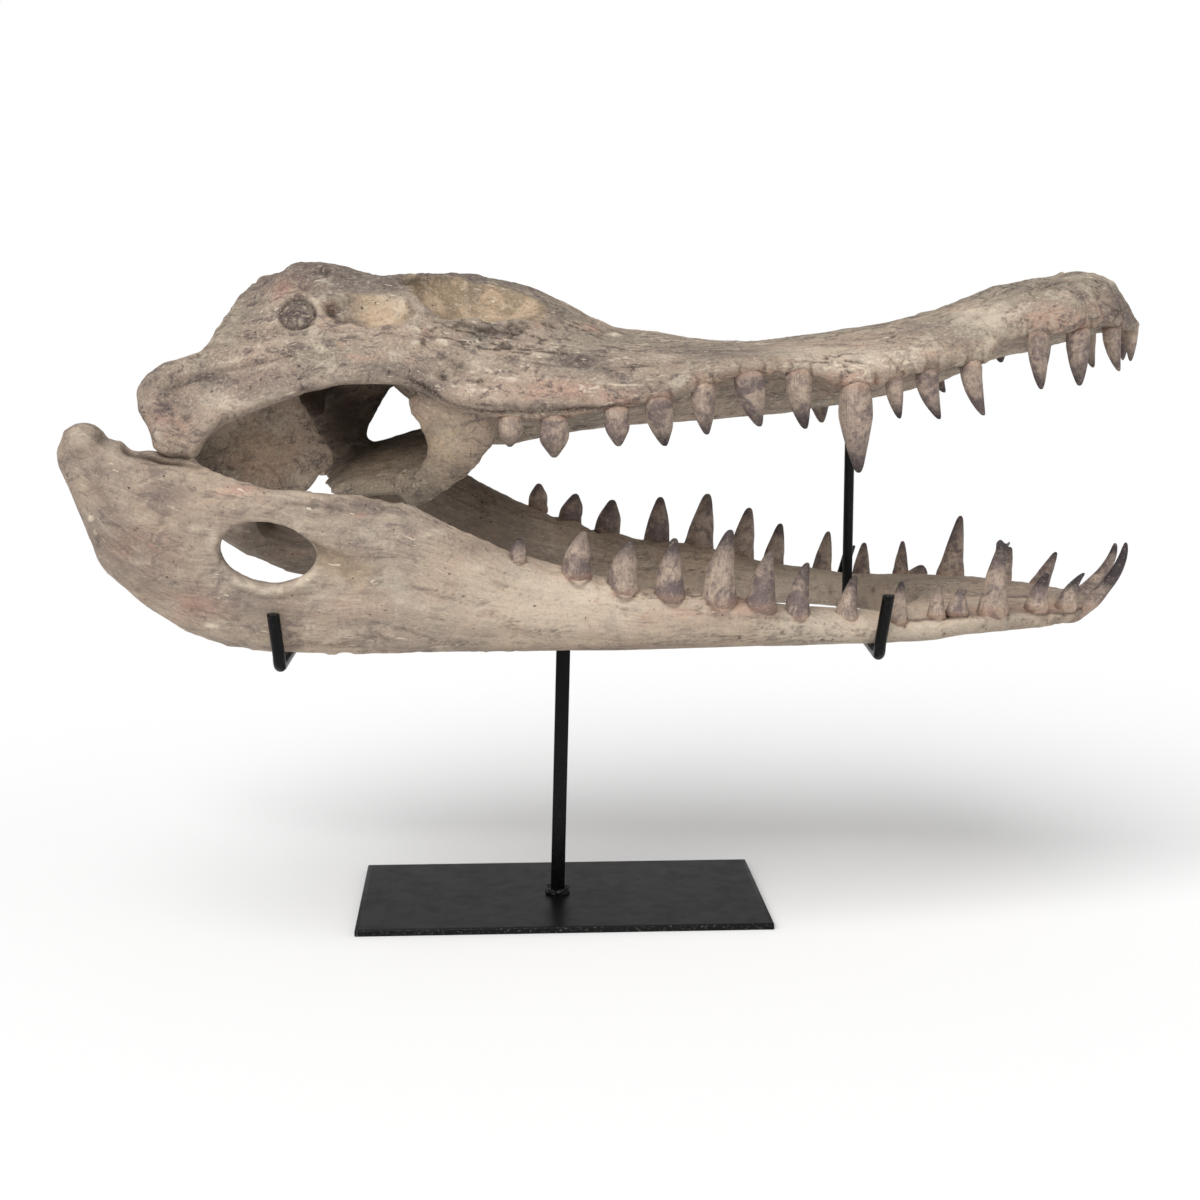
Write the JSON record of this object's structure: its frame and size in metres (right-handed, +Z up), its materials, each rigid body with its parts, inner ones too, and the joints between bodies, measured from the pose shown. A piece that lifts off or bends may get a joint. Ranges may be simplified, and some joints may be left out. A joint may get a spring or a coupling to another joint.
{
  "type": "crocodile skull replica on stand",
  "caption": "Cast replica of a crocodile skull with open jaws and full rows of teeth, held on a black steel stand with a flat base, a post and upturned hooks.",
  "frame": {"origin": "on the underside of the base plate, below the foot of the post", "axes": "+Z up, +X towards the snout, -Y towards the skull's right side"},
  "size_m": [0.721, 0.3375, 0.4532],
  "materials": {
    "cranium_cast": "cast resin painted and rubbed to look like old weathered bone, matte, with darker tooth tips",
    "jaw_cast": "cast resin painted and rubbed to look like old weathered bone, matte, with fine lengthwise grain",
    "black_paint": "satin black paint on steel, slightly worn at the edges"
  },
  "bodies": {
    "root": {"cranium": "cranium_cast", "mandible_right": "jaw_cast", "mandible_left": "jaw_cast", "stand_base": "black_paint", "stand_post": "black_paint", "stand_spine": "black_paint", "stand_cross_rear": "black_paint", "stand_cross_front": "black_paint", "stand_jaw_rod": "black_paint"}
  },
  "joints": []
}
